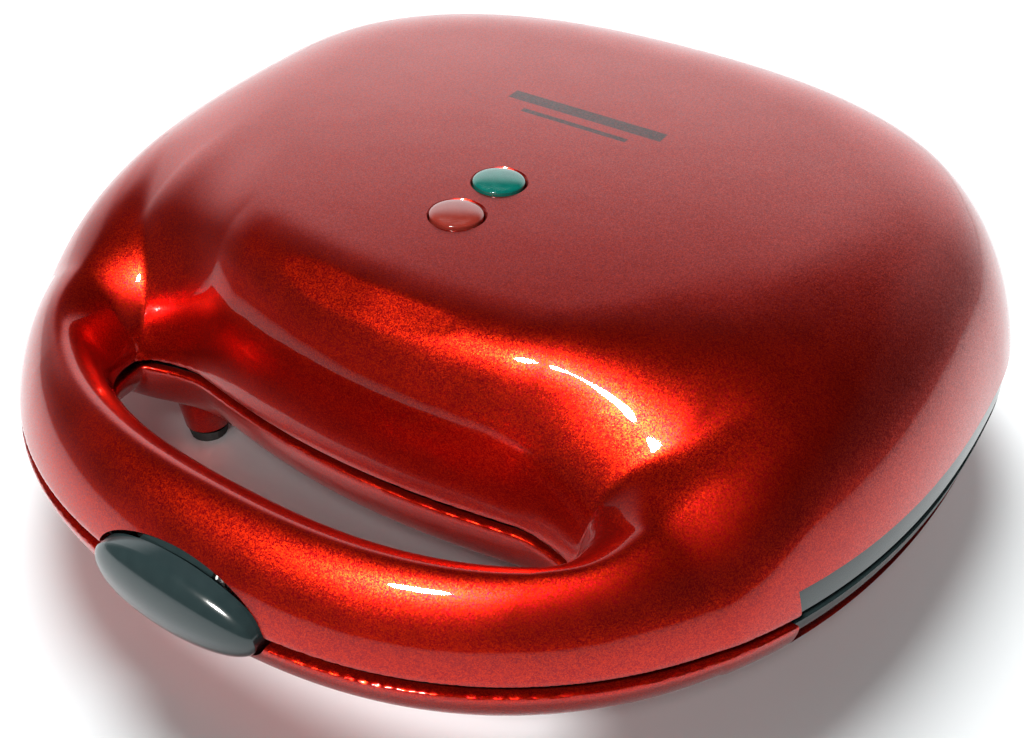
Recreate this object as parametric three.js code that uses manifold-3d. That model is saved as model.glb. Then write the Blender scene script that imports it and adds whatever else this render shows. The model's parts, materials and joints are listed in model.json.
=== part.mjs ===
// A closed panini press: a domed lid and a shallow base, each with half of a loop handle, hinged at the rear
// and held by a rocking latch at the front. Millimetres, +Z up, -Y towards the handle, origin on the table
// under the middle of the press.
import * as THREE from "three";
import { mergeVertices } from "three/addons/utils/BufferGeometryUtils.js";
import Module from "manifold-3d";

const wasm = await Module();
wasm.setup();

// ---- Driving dimensions ----
const HALF_WIDTH = 115;
const FRONT_REACH = 144.8; // from the widest line to the front of the handle
const REAR_REACH = 88;
const FRONT_POWER = 2.34;
const REAR_POWER = 2.26;
const SEAM_Z = 30; // the lid's lower edge
const SEAM_GAP = 1.4;
const BASE_TOP = SEAM_Z - SEAM_GAP;
const WALL = 2.4;
const FIT = 0.3; // clearance between pieces that meet

const DOME = { rise: 41.2, reach: 49.2, bend: 3.3, edge: 1.3, tilt: 0.042 };
const BOWL = { rise: 15.5, reach: 26, bend: 3, edge: 2.2 };
const LID_FACE = { rise: 47.2, reach: 34, bend: 2.3, edge: 1.6 };
const LID_FACE_END = { rise: 45, reach: 102, bend: 2.3, edge: 1.45 }; // beside the opening
const FACE_EASE = { from: 33, over: 59.6 }; // where the one face turns into the other
const BASE_FACE = { rise: 18.5, reach: 12, bend: 2, edge: 1.5 };
const LID_BLEND = { arch: 15, dome: 8 }; // how softly face, handle and dome run into each other
const BASE_BLEND = { arch: 4, dome: 3 };

// The handle in section: its highest point is at a share of its width, and each flank has its own bend.
const LID_HANDLE = { crest: 17.5, growth: 7, share: 0.573, outer: 1.5, inner: 1.8 };
const BASE_HANDLE = { crest: 12, growth: 2.5, share: 0.5, outer: 3, inner: 2.2 };
const HANDLE_GROWS = { from: -122, over: 55 };
const HANDLE_WIDTH = 24.5; // in the middle
const HANDLE_NARROWING = { at: 60, by: 4.6 }; // towards the ends of the opening
const HANDLE_WIDENING = { from: -111, over: 25, by: 11.6 }; // where it runs into the sides

const FACE_Y = -98.5; // the body's front face behind the opening, from the widest line
const FACE_BOW = 0.0027; // how fast that face curves back
const FACE_CORNER = { from: 42, over: 30, forward: 9 };

const WINDOW = { front: -83, rear: 48, rise: 7, drop: 8 }; // the slots in both sides
const BAND_DEPTH = 1.2; // how far the frames stand back from the outside in those slots
const LATCH = { half: 20.6, rise: 8.9, bulge: 4.6, pin: 1.2, lug: 11, lugWidth: 2.5 };
const LENS = { radius: 6.5, red: -52.1, green: -35.1 };

const HINGE_BACK = 1.3; // the hinge line, behind the rear of the outline
const HINGE_Z = SEAM_Z - SEAM_GAP / 2;
const HINGE_RADIUS = 5;
const PIN_RADIUS = 1.9;
const KNUCKLE = { inner: 24, innerEnd: 30, outerStart: 42, outer: 48 };

const LEG = { x: 57, front: -82, rear: 46, top: 7.2, foot: 5.6, height: 3.2 };

// The widest line sits so that the latch and the hinge reach equally far from the origin.
const WIDEST_Y = (FRONT_REACH + LATCH.bulge - REAR_REACH - HINGE_BACK - HINGE_RADIUS) / 2;
const FRONT_Y = WIDEST_Y - FRONT_REACH;
const HINGE_Y = WIDEST_Y + REAR_REACH + HINGE_BACK;
const FAR = 400; // larger than the press, for cutting tools

// Heights of what lies inside, from the seam outwards: down in the base, up in the lid.
const STACK = { ribs: 0.3, face: 1.8, back: 4.4, element: 7.1, clampFrom: 9.8, clampTo: 10.7 };
const ELEMENT_RADIUS = 2.4;
const SHIELD = { from: 11, thick: 0.8 };
const FRAME = { from: 0.6, inset: 5.2, width: 9.4 };
const PLATE_INSET = FRAME.inset + FRAME.width + 1;
const SHIELD_INSET = 21;
const SCREW_TURNS = [55, 140, 220, 305];
const SCREW = { head: 2.8, headDepth: 1.8, shank: 1.4, sunk: 0.5, boss: 3.4 };

// ---- Materials ----
const finish = (color, roughness, metalness) =>
  new THREE.MeshStandardMaterial({ color, roughness, metalness });
const RED = finish(0x9c1418, 0.25, 0.35);
const BLACK = finish(0x1b2324, 0.35, 0);
const RUBBER = finish(0x141414, 0.8, 0);
const CAST = finish(0x2a2a2c, 0.55, 0.3);
const STEEL = finish(0xb4b6b8, 0.3, 1);
const SHEET = finish(0xa9abac, 0.45, 1);
const CERAMIC = finish(0xe4dfd2, 0.7, 0);
const SLEEVE = finish(0xd9d4c4, 0.85, 0);
const GREEN = finish(0x0f8a72, 0.1, 0);
const PINK = finish(0xb8483f, 0.1, 0);
const GLASS = finish(0xd8cfc4, 0.15, 0);

// ---- Small tools ----
const press = new THREE.Group();

const clamp01 = (v) => Math.min(1, Math.max(0, v));

function smoothStep(v) {
  const t = clamp01(v);
  return t * t * (3 - 2 * t);
}

function smoothMin(a, b, soft) {
  const h = Math.max(soft - Math.abs(a - b), 0) / soft;
  return Math.min(a, b) - (h * h * soft) / 4;
}

const smoothMax = (a, b, soft) => -smoothMin(-a, -b, soft);

// A closed three.js geometry as a manifold solid.
function solid(geometry) {
  const bare = geometry.clone();
  bare.deleteAttribute("normal");
  bare.deleteAttribute("uv");
  const merged = mergeVertices(bare, 1e-4);
  const mesh = new wasm.Mesh({
    numProp: 3,
    vertProperties: merged.attributes.position.array,
    triVerts: new Uint32Array(merged.index.array),
  });
  return new wasm.Manifold(mesh);
}

// A manifold solid as a three.js geometry.
function geometryOf(body) {
  const mesh = body.getMesh();
  const geometry = new THREE.BufferGeometry();
  geometry.setAttribute("position", new THREE.BufferAttribute(mesh.vertProperties, 3));
  geometry.setIndex(new THREE.BufferAttribute(mesh.triVerts, 1));
  geometry.computeVertexNormals();
  return geometry;
}

function piece(name, shape, material) {
  const geometry = shape.isBufferGeometry ? shape : geometryOf(shape);
  const mesh = new THREE.Mesh(geometry, material);
  mesh.name = name;
  press.add(mesh);
}

function box(x0, x1, y0, y1, z0, z1) {
  const middle = [(x0 + x1) / 2, (y0 + y1) / 2, (z0 + z1) / 2];
  return solid(new THREE.BoxGeometry(x1 - x0, y1 - y0, z1 - z0).translate(...middle));
}

const post = (x, y, z0, z1, low, high = low, sides = 20) =>
  solid(
    new THREE.CylinderGeometry(high, low, z1 - z0, sides).rotateX(Math.PI / 2).translate(x, y, (z0 + z1) / 2),
  );

function rodX(x0, x1, y, z, radius, sides = 20) {
  const cylinder = new THREE.CylinderGeometry(radius, radius, x1 - x0, sides);
  return solid(cylinder.rotateZ(Math.PI / 2).translate((x0 + x1) / 2, y, z));
}

const rodY = (x, y0, y1, z, radius, sides = 20) =>
  solid(new THREE.CylinderGeometry(radius, radius, y1 - y0, sides).translate(x, (y0 + y1) / 2, z));

function prism(points, z0, z1) {
  const shape = new THREE.Shape(points);
  return solid(new THREE.ExtrudeGeometry(shape, { depth: z1 - z0, bevelEnabled: false }).translate(0, 0, z0));
}

// A round tube or wire along a curve.
function tube(path, radius, steps, sides = 8) {
  const ring = Array.from({ length: sides }, (_, i) => {
    const turn = (i / sides) * 2 * Math.PI;
    return new THREE.Vector2(radius * Math.cos(turn), radius * Math.sin(turn));
  });
  return new THREE.ExtrudeGeometry(new THREE.Shape(ring), { steps, extrudePath: path });
}

const through = (points) => new THREE.CatmullRomCurve3(points.map((p) => new THREE.Vector3(...p)));

// A span on the left (-1) or right (1) side, with its ends in order.
const span = (side, a, b) => [Math.min(side * a, side * b), Math.max(side * a, side * b)];

// The biggest body of a cut, without the crumbs that the cut leaves.
const largest = (body) => body.decompose().reduce((a, b) => (b.volume() > a.volume() ? b : a));

// ---- The outline: two half superellipses that share the widest line ----
// turn is 0 at the front and grows towards +X.
function outlineRadius(turn) {
  const front = Math.cos(turn) > 0;
  const power = front ? FRONT_POWER : REAR_POWER;
  const reach = front ? FRONT_REACH : REAR_REACH;
  const across = Math.abs(Math.sin(turn)) / HALF_WIDTH;
  const along = Math.abs(Math.cos(turn)) / reach;
  return (across ** power + along ** power) ** (-1 / power);
}

// Distance in from the outline, to first order, of a point given from the middle of the widest line.
function insetAt(x, y) {
  const reach = y < 0 ? FRONT_REACH : REAR_REACH;
  const power = y < 0 ? FRONT_POWER : REAR_POWER;
  const u = Math.abs(x) / HALF_WIDTH + 1e-9;
  const v = Math.abs(y) / reach + 1e-9;
  const level = Math.max((u ** power + v ** power) ** (1 / power), 1e-6);
  const slope = Math.hypot(u ** (power - 1) / HALF_WIDTH, v ** (power - 1) / reach) * level ** (1 - power);
  return (1 - level) / slope;
}

// The front face of the body seen from above: bowed, and brought forwards at its corners.
function faceLine(x) {
  const across = Math.abs(x);
  const corner = FACE_CORNER.forward * smoothStep((across - FACE_CORNER.from) / FACE_CORNER.over);
  return FACE_Y + FACE_BOW * smoothMin(across, 60, 30) ** 2 - corner;
}

// ---- Heights of the shells above (lid) or below (base) the seam ----
// A height that is steep at an edge and level once it is the reach away from it.
const roundedRise = (t, { rise, reach, bend, edge }) =>
  rise * (1 - (1 - clamp01(t / reach)) ** bend) ** (1 / edge);

// The body behind the handle opening, below zero inside the opening, easing from a middle to an end profile.
function faceRise(x, y, middle, end) {
  const lean = faceLine(Math.abs(x) + 0.5) - faceLine(Math.abs(x) - 0.5);
  const behind = (y - faceLine(x)) / Math.hypot(1, lean);
  if (behind <= 0) return 3 * behind;
  const ease = smoothStep((Math.abs(x) - FACE_EASE.from) / FACE_EASE.over);
  const between = (key) => middle[key] + (end[key] - middle[key]) * ease;
  return roundedRise(behind, {
    rise: between("rise"),
    reach: between("reach"),
    bend: between("bend"),
    edge: between("edge"),
  });
}

function handleWidth(x, y) {
  const narrowing = HANDLE_NARROWING.by * Math.min(Math.abs(x) / HANDLE_NARROWING.at, 1) ** 2;
  const widening = HANDLE_WIDENING.by * smoothStep((y - HANDLE_WIDENING.from) / HANDLE_WIDENING.over);
  return HANDLE_WIDTH - narrowing + widening;
}

// The handle, growing into the sides of the body, below zero past its inner edge.
function handleRise(x, y, { crest, growth, share, outer, inner }) {
  const width = handleWidth(x, y);
  const across = insetAt(x, y) / width;
  if (across >= 1) return -3 * width * (across - 1);
  const outside = across < share;
  const fromCrest = outside ? 1 - across / share : (across - share) / (1 - share);
  const rise = crest + growth * smoothStep((y - HANDLE_GROWS.from) / HANDLE_GROWS.over);
  return rise * Math.sqrt(1 - clamp01(fromCrest) ** (outside ? outer : inner));
}

function lidRise(x, y) {
  const inset = Math.max(insetAt(x, y), 0);
  const dome = roundedRise(inset, DOME) + DOME.tilt * y * Math.min(inset / 20, 1);
  const face = faceRise(x, y, LID_FACE, LID_FACE_END);
  const arch = smoothMax(face, handleRise(x, y, LID_HANDLE), LID_BLEND.arch);
  return smoothMin(arch, dome, LID_BLEND.dome);
}

function baseDrop(x, y) {
  const bowl = roundedRise(Math.max(insetAt(x, y), 0), BOWL);
  const face = faceRise(x, y, BASE_FACE, BASE_FACE);
  const arch = smoothMax(face, handleRise(x, y, BASE_HANDLE), BASE_BLEND.arch);
  return smoothMin(arch, bowl, BASE_BLEND.dome);
}

// ---- The shells: closed solids on a polar grid that follows the handle and the front face ----
const TURNS = 52;
// Shares of the handle's width, from the outline inwards.
const HANDLE_SHARES = [0, 0.03, 0.07, 0.14, 0.35, 0.6, 0.82, 0.96, 1.04];
const WIDEST_HANDLE = 25;
const FACE_STATIONS = [-3, 0, 2, 7, 18, 38];
const MIDDLE_SHARES = [0.4];

function stationsAt(turn) {
  const outer = outlineRadius(turn);
  const ahead = Math.cos(turn);
  const face = ahead > 0.05 ? -faceLine(0.8 * outer * Math.sin(turn)) / ahead : FAR;
  const line = smoothMin(face, outer - 30, 12);
  const body = FACE_STATIONS.map((step) => line - step);
  const last = body[body.length - 1];
  const x = outer * Math.sin(turn);
  const y = -outer * Math.cos(turn);
  const width = Math.min(handleWidth(x, y), WIDEST_HANDLE);
  // How far a step along the radius goes across the handle.
  const slant = insetAt(0.9 * x, 0.9 * y) / (0.1 * outer);
  const steps = HANDLE_SHARES.map((share) => Math.min((share * width) / slant, WIDEST_HANDLE + share));
  const handle = steps.map((step) => outer - step);
  return [...handle, ...body, ...MIDDLE_SHARES.map((share) => last * share)];
}

// The solid under a height function out to the outline, moved in by depth along its own normals.
function solidUnder(riseAt, depth) {
  const lowest = -8; // how far the surface dips inside the opening
  const underside = -12;
  const slopeStep = 0.05;
  const rings = Array.from({ length: TURNS }, (_, i) => {
    const turn = (i / TURNS) * 2 * Math.PI;
    const ring = stationsAt(turn).map((radius, j) => {
      const x = radius * Math.sin(turn);
      const y = -radius * Math.cos(turn);
      const slopeX = (riseAt(x + slopeStep, y) - riseAt(x - slopeStep, y)) / (2 * slopeStep);
      const slopeY = (riseAt(x, y + slopeStep) - riseAt(x, y - slopeStep)) / (2 * slopeStep);
      const normal = new THREE.Vector3(-slopeX, -slopeY, j === 0 ? 0 : 1).normalize();
      const point = new THREE.Vector3(x, y, j === 0 ? 0 : riseAt(x, y)).addScaledVector(normal, -depth);
      point.z = Math.max(point.z, lowest);
      return point;
    });
    return [new THREE.Vector3(ring[0].x, ring[0].y, underside), ...ring];
  });
  const count = rings[0].length;
  const vertices = rings.flat();
  const top = vertices.push(new THREE.Vector3(0, 0, riseAt(0, 0) - depth)) - 1;
  const bottom = vertices.push(new THREE.Vector3(0, 0, underside)) - 1;
  const index = [];
  for (let i = 0; i < TURNS; i++) {
    const here = i * count;
    const next = ((i + 1) % TURNS) * count;
    for (let j = 0; j < count - 1; j++) {
      index.push(here + j, next + j, here + j + 1, next + j, next + j + 1, here + j + 1);
    }
    index.push(here + count - 1, next + count - 1, top, next, here, bottom);
  }
  const geometry = new THREE.BufferGeometry().setFromPoints(vertices);
  geometry.setIndex(index);
  return solid(geometry);
}

const LID = { up: 1, edge: SEAM_Z, riseAt: lidRise, frameTo: 6.5, bandTo: 6.5, screwTo: 10.9 };
const BASE = { up: -1, edge: BASE_TOP, riseAt: baseDrop, frameTo: 5.2, bandTo: 7.6, screwTo: 10.4 };

// Height of a level measured outwards from a half's edge.
const level = (half, distance) => half.edge + half.up * distance;

// Takes a body from heights measured from the seam to its half.
const inPlace = (half, body) => body.scale([1, 1, half.up]).translate([0, WIDEST_Y, half.edge]);

function thinShell(half) {
  const outside = solidUnder(half.riseAt, 0);
  const inside = solidUnder(half.riseAt, WALL);
  const pastSeam = box(-FAR, FAR, -FAR, FAR, -FAR, 0);
  return inPlace(half, outside.subtract(inside).subtract(pastSeam));
}

// A slab between two levels of a half, given in the order that points outwards.
const slab = (half, x0, x1, y0, y1, from, to) => {
  const ends = [level(half, from), level(half, to)];
  return box(x0, x1, y0, y1, Math.min(...ends), Math.max(...ends));
};

const upright = (half, x, y, from, to, radius, sides) => {
  const ends = [level(half, from), level(half, to)];
  return post(x, y, Math.min(...ends), Math.max(...ends), radius, radius, sides);
};

const layer = (half, points, from, to) => {
  const ends = [level(half, from), level(half, to)];
  return prism(points, Math.min(...ends), Math.max(...ends));
};

// A point of the body's outline behind the handle opening, moved in by inset.
function bodyPoint(turn, inset) {
  const sharpness = 16;
  const ahead = Math.cos(turn);
  const edge = outlineRadius(turn) - inset;
  let face = ahead > 0.02 ? (-FACE_Y - inset) / ahead : FAR * 10;
  if (ahead > 0.3) face = (-faceLine(Math.min(face, edge) * Math.sin(turn)) - inset) / ahead;
  const radius = (edge ** -sharpness + face ** -sharpness) ** (-1 / sharpness);
  return new THREE.Vector2(radius * Math.sin(turn), WIDEST_Y - radius * Math.cos(turn));
}

const bodyOutline = (inset, count = 48) =>
  Array.from({ length: count }, (_, i) => bodyPoint(-(i / count) * 2 * Math.PI, inset));

// ---- Hinge ----
// A knuckle and the arm that joins it to the rear wall of its half.
function knuckle(half, side, a, b) {
  const [x0, x1] = span(side, a + FIT / 2, b - FIT / 2);
  const z0 = half.up > 0 ? SEAM_Z + 0.2 : HINGE_Z - HINGE_RADIUS;
  const z1 = half.up > 0 ? HINGE_Z + HINGE_RADIUS : BASE_TOP - 0.2;
  const arm = box(x0, x1, HINGE_Y - 14, HINGE_Y, z0, z1).subtract(prism(bodyOutline(4.4), z0 - 1, z1 + 1));
  return rodX(x0, x1, HINGE_Y, HINGE_Z, HINGE_RADIUS).add(arm);
}

// The space that the other half's knuckle turns in.
function knuckleSpace(side, a, b) {
  const [x0, x1] = span(side, a - FIT, b + FIT);
  return rodX(x0, x1, HINGE_Y, HINGE_Z, HINGE_RADIUS + 0.7, 24);
}

const { inner, innerEnd, outerStart, outer } = KNUCKLE;
const KNUCKLES = { lid: [[innerEnd, outerStart]], base: [[inner, innerEnd], [outerStart, outer]] };

function addHinge(half, body) {
  const own = half.up > 0 ? KNUCKLES.lid : KNUCKLES.base;
  const other = half.up > 0 ? KNUCKLES.base : KNUCKLES.lid;
  let result = body;
  for (const side of [-1, 1]) {
    for (const [a, b] of other) result = result.subtract(knuckleSpace(side, a, b));
    for (const [a, b] of own) result = result.add(knuckle(half, side, a, b));
  }
  return result.subtract(rodX(-outer - 5, outer + 5, HINGE_Y, HINGE_Z, PIN_RADIUS + FIT / 2));
}

function makeHingePin(side) {
  const [x0, x1] = span(side, inner + 0.5, outer + 1);
  const [h0, h1] = span(side, outer + 0.3, outer + 1.3);
  const head = rodX(h0, h1, HINGE_Y, HINGE_Z, PIN_RADIUS + 1.2, 16);
  return rodX(x0, x1, HINGE_Y, HINGE_Z, PIN_RADIUS, 16).add(head);
}

// ---- Latch ----
const PIVOT = { y: FRONT_Y + 6.2, z: SEAM_Z + 5.4 };
const LUG_SPANS = [-1, 1].map((side) => span(side, LATCH.lug, LATCH.lug + LATCH.lugWidth));
const HOOK = { half: 7, back: FRONT_Y + 5.4, nose: FRONT_Y + 7.4, low: 22.6, noseTop: 24.4 };

// An elliptical cylinder that points forwards, as wide and tall as the latch plus a margin.
const latchOval = (margin, y0, y1) =>
  solid(
    new THREE.CylinderGeometry(1, 1, y1 - y0, 32)
      .scale(LATCH.half + margin, 1, LATCH.rise + margin)
      .translate(0, (y0 + y1) / 2, SEAM_Z),
  );

const latchPocket = () => latchOval(0.9, FRONT_Y - 20, FRONT_Y + 8.8);

function makeLatchButton() {
  const middle = 6; // of the ellipsoid that shapes the face, behind the front of the handle
  const ball = new THREE.SphereGeometry(1, 36, 20).rotateX(Math.PI / 2);
  const dome = solid(ball.scale(30, middle + LATCH.bulge, 14).translate(0, FRONT_Y + middle, SEAM_Z));
  const face = latchOval(0, FRONT_Y - 20, FRONT_Y + 3).intersect(dome);
  const barrelHalf = LATCH.lug - FIT;
  const barrel = rodX(-barrelHalf, barrelHalf - 3.4, PIVOT.y, PIVOT.z, 2.4, 16);
  const web = box(-barrelHalf, barrelHalf - 3.4, FRONT_Y + 2, PIVOT.y, PIVOT.z - 2, PIVOT.z + 1.6);
  const arm = box(-HOOK.half, HOOK.half, FRONT_Y + 2, HOOK.back, HOOK.low, PIVOT.z - 1);
  const nose = box(-HOOK.half, HOOK.half, HOOK.back - 1, HOOK.nose, HOOK.low, HOOK.noseTop);
  const bore = rodX(-FAR, FAR, PIVOT.y, PIVOT.z, LATCH.pin + 0.15, 16);
  return face.add(barrel).add(web).add(arm).add(nose).subtract(bore);
}

const makeLatchPin = () => {
  const half = LATCH.lug + LATCH.lugWidth - 0.2;
  return rodX(-half, half, PIVOT.y, PIVOT.z, LATCH.pin, 14);
};

// A helix about the pin, in the space beside the barrel.
function makeLatchSpring() {
  const turns = 3;
  const [start, length, radius] = [LATCH.lug - 3.2, 2.4, 2];
  const points = Array.from({ length: turns * 12 + 1 }, (_, i) => {
    const turn = (i / 12) * 2 * Math.PI;
    const x = start + (i / (turns * 12)) * length;
    return [x, PIVOT.y + radius * Math.cos(turn), PIVOT.z + radius * Math.sin(turn)];
  });
  return tube(through(points), 0.35, turns * 12, 5);
}

// The catch stops just short of the hook, so that the lid and the latch can each move alone.
function makeLatchCatch() {
  const half = HOOK.half + 2;
  const back = FRONT_Y + 14;
  const top = BASE_TOP - 2.2;
  const shelf = box(-half, half, HOOK.nose + FIT, back, HOOK.noseTop + 0.5, top);
  const leg = box(-half, half, back - 2.6, back, 20.9, top);
  return shelf.add(leg);
}

function latchLugs(dome) {
  const lugs = LUG_SPANS.map(([x0, x1]) => box(x0, x1, FRONT_Y + 3.6, PIVOT.y + 3, PIVOT.z - 2.6, 60));
  return lugs[0].add(lugs[1]).intersect(dome);
}

// ---- Screws that hold the frames ----
const SCREW_POINTS = SCREW_TURNS.map((turn) =>
  bodyPoint(THREE.MathUtils.degToRad(turn), FRAME.inset + FRAME.width / 2),
);
const SCREW_FROM = FRAME.from + SCREW.sunk;
const SHANK_FROM = SCREW_FROM + SCREW.headDepth;

function makeFrameScrew(half, { x, y }) {
  const head = upright(half, x, y, SCREW_FROM, SHANK_FROM, SCREW.head, 14);
  return head.add(upright(half, x, y, SHANK_FROM - 0.2, half.screwTo, SCREW.shank, 12));
}

function screwBosses(half, body) {
  const within = inPlace(half, solidUnder(half.riseAt, WALL / 2));
  let result = body;
  for (const { x, y } of SCREW_POINTS) {
    const boss = upright(half, x, y, half.frameTo + FIT, 60, SCREW.boss, 14).intersect(within);
    result = result.add(boss).subtract(upright(half, x, y, 0, half.screwTo + 0.4, SCREW.shank + 0.2, 12));
  }
  return result;
}

// ---- Shells ----
const sideWindow = (side, z0, z1) =>
  box(...span(side, 70, FAR), WIDEST_Y + WINDOW.front, WIDEST_Y + WINDOW.rear, z0, z1);

const lensHeight = (y) => SEAM_Z + lidRise(0, y);

function makeLidShell() {
  const within = inPlace(LID, solidUnder(lidRise, WALL / 2));
  let shell = thinShell(LID).subtract(latchPocket()).add(latchLugs(within));
  shell = shell.subtract(rodX(-20, 20, PIVOT.y, PIVOT.z, LATCH.pin + 0.15, 16));
  for (const side of [-1, 1]) shell = shell.subtract(sideWindow(side, 0, SEAM_Z + WINDOW.rise));
  const hole = LENS.radius + FIT;
  for (const y of [LENS.red, LENS.green]) {
    shell = shell.subtract(post(0, WIDEST_Y + y, 55, 90, hole, hole, 28));
  }
  return largest(screwBosses(LID, addHinge(LID, shell)));
}

function makeBaseShell() {
  let shell = thinShell(BASE).subtract(latchPocket());
  for (const side of [-1, 1]) shell = shell.subtract(sideWindow(side, BASE_TOP - WINDOW.drop, 60));
  shell = screwBosses(BASE, addHinge(BASE, shell));
  for (const { x, y } of LEG_POINTS) {
    shell = shell.add(post(x, y, LEG.height, 15.6, LEG.foot, LEG.top, 24));
    shell = shell.subtract(post(x, y, 0, LEG.height + 4, PAD_STEM + FIT, PAD_STEM + FIT, 16));
  }
  return largest(shell.subtract(rodY(0, WIDEST_Y + 60, FAR, GLAND.z, GLAND.neck + FIT, 20)));
}

// ---- Feet and cord gland ----
const PAD_STEM = 2.4;
const LEG_POINTS = [-1, 1].flatMap((side) => [
  { x: side * LEG.x, y: WIDEST_Y + LEG.front },
  { x: side * LEG.x, y: WIDEST_Y + LEG.rear },
]);

function makeFootPad({ x, y }) {
  const stem = post(x, y, 1, LEG.height + 3.4, PAD_STEM, PAD_STEM, 12);
  return post(x, y, 0, LEG.height - FIT, LEG.foot - 1, LEG.foot - 0.4, 20).add(stem);
}

const GLAND = { z: 20.4, neck: 3.2, flange: 4.6, bore: 2, from: 81, wall: 88.2, to: 91.4 };

function makeCordGland() {
  const [from, wall, to] = [GLAND.from, GLAND.wall, GLAND.to].map((y) => WIDEST_Y + y);
  const bush = rodY(0, from, to, GLAND.z, GLAND.neck).add(rodY(0, wall, to, GLAND.z, GLAND.flange));
  return bush.subtract(rodY(0, from - 1, to + 1, GLAND.z, GLAND.bore, 16));
}

// ---- Frames, plates, heaters and shields, alike in both halves ----
const PLATE_RIBS = 9;
const RIB = { pitch: 17, width: 5, margin: 6 };
const STUD_Y = WIDEST_Y - 34; // the clamp's screw
const HEATER = { half: 52, front: -62, rear: 46, tail: 12 };

// The part of a frame that fills its side slot, following the outside.
function slotBand(half, side, within) {
  const [x0, x1] = span(side, 70, FAR);
  const [y0, y1] = [WIDEST_Y + WINDOW.front + FIT, WIDEST_Y + WINDOW.rear - FIT];
  const middle = layer(half, bodyOutline(FRAME.inset + 0.6), FRAME.from - 1, half.bandTo + 1);
  return slab(half, x0, x1, y0, y1, FRAME.from, half.bandTo).intersect(within).subtract(middle);
}

function makeFrame(half) {
  const middle = layer(half, bodyOutline(FRAME.inset + FRAME.width), FRAME.from - 1, half.frameTo + 1);
  let frame = layer(half, bodyOutline(FRAME.inset), FRAME.from, half.frameTo).subtract(middle);
  const within = inPlace(half, solidUnder(half.riseAt, BAND_DEPTH));
  for (const side of [-1, 1]) frame = frame.add(slotBand(half, side, within));
  frame = frame.subtract(rodY(0, WIDEST_Y, FAR, GLAND.z, GLAND.neck + FIT));
  for (const { x, y } of SCREW_POINTS) {
    frame = frame.subtract(upright(half, x, y, 0, SHANK_FROM + 0.1, SCREW.head + 0.3, 14));
    frame = frame.subtract(upright(half, x, y, 0, half.frameTo + 1, SCREW.shank + 0.2, 12));
  }
  return frame;
}

function makePlate(half) {
  let plate = layer(half, bodyOutline(PLATE_INSET), STACK.face, STACK.back);
  const ribbed = layer(half, bodyOutline(PLATE_INSET + RIB.margin), STACK.ribs, STACK.face + 0.5);
  for (let i = 0; i < PLATE_RIBS; i++) {
    const x = (i - (PLATE_RIBS - 1) / 2) * RIB.pitch;
    plate = plate.add(box(x - RIB.width / 2, x + RIB.width / 2, -FAR, FAR, 0, FAR).intersect(ribbed));
  }
  return plate.subtract(upright(half, 0, STUD_Y, STACK.face + 0.8, STACK.back + 1, 1.7, 12));
}

// The rod's path: in at the rear, round three sides of the plate and out again.
function makeElement(half) {
  const z = level(half, STACK.element);
  const { half: wide, front, rear, tail } = HEATER;
  const right = [
    [tail, rear],
    [tail + 14, rear - 8],
    [wide - 6, rear - 10],
    [wide, rear - 30],
    [wide, 0],
    [wide, front + 30],
    [wide - 8, front + 8],
    [20, front],
  ];
  const left = right.map(([x, y]) => [-x, y]).reverse();
  return tube(through([...right, ...left].map(([x, y]) => [x, WIDEST_Y + y, z])), ELEMENT_RADIUS, 40, 8);
}

// A bar across the heater, screwed to the middle of the plate.
function makeClamp(half) {
  const end = HEATER.half + 5;
  const bar = slab(half, -end, end, STUD_Y - 5, STUD_Y + 5, STACK.clampFrom, STACK.clampTo);
  return bar.subtract(upright(half, 0, STUD_Y, STACK.clampFrom - 1, STACK.clampTo + 1, 1.9, 12));
}

const makeClampScrew = (half) =>
  upright(half, 0, STUD_Y, STACK.face + 1.2, STACK.clampTo + 0.2, 1.4, 12).add(
    upright(half, 0, STUD_Y, STACK.clampTo + 0.1, STACK.clampTo + 1.9, 2.9, 14),
  );

// The shield has a hole for the clamp's screw and, in the lid, a hole for the wires.
function makeShield(half) {
  const shield = layer(half, bodyOutline(SHIELD_INSET), SHIELD.from, SHIELD.from + SHIELD.thick);
  const screwHole = upright(half, 0, STUD_Y, SHIELD.from - 1, SHIELD.from + 3, 3.4, 16);
  const wireHole = upright(half, 0, WIDEST_Y + 30, SHIELD.from - 1, SHIELD.from + 3, 6, 16);
  return half.up > 0 ? shield.subtract(screwHole).subtract(wireHole) : shield.subtract(screwHole);
}

// The strip that closes one half of the handle, with room for the latch.
function makeHandleLiner(half) {
  const [low, high] = [0.3, 1.7];
  const count = 14;
  const reach = 0.62; // radians to each side of the front
  const edge = (inset) =>
    Array.from({ length: count + 1 }, (_, i) => {
      const turn = -reach + (2 * reach * i) / count;
      const radius = outlineRadius(turn) - inset;
      return new THREE.Vector2(radius * Math.sin(turn), WIDEST_Y - radius * Math.cos(turn));
    });
  const strip = layer(half, [...edge(3.7), ...edge(18).reverse()], low, high);
  return strip.subtract(box(-LATCH.half - 1.2, LATCH.half + 1.2, FRONT_Y - 5, FRONT_Y + 14.6, 0, 60));
}

// ---- Lamps, lenses and the small electrical parts ----
function makeLens(y) {
  const z = lensHeight(y);
  const arc = Array.from({ length: 5 }, (_, i) => {
    const turn = (i / 4) * (Math.PI / 2);
    return new THREE.Vector2(LENS.radius * Math.cos(turn), 0.3 + 0.9 * Math.sin(turn));
  });
  const profile = [new THREE.Vector2(0, -3.4), new THREE.Vector2(LENS.radius, -3.4), ...arc];
  profile[profile.length - 1].x = 0;
  return solid(new THREE.LatheGeometry(profile, 24).rotateX(Math.PI / 2)).translate([0, WIDEST_Y + y, z]);
}

const SHIELD_TOP = level(LID, SHIELD.from + SHIELD.thick);
const LAMP = { radius: 2.6, shelf: 52, top: 62 };

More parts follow.
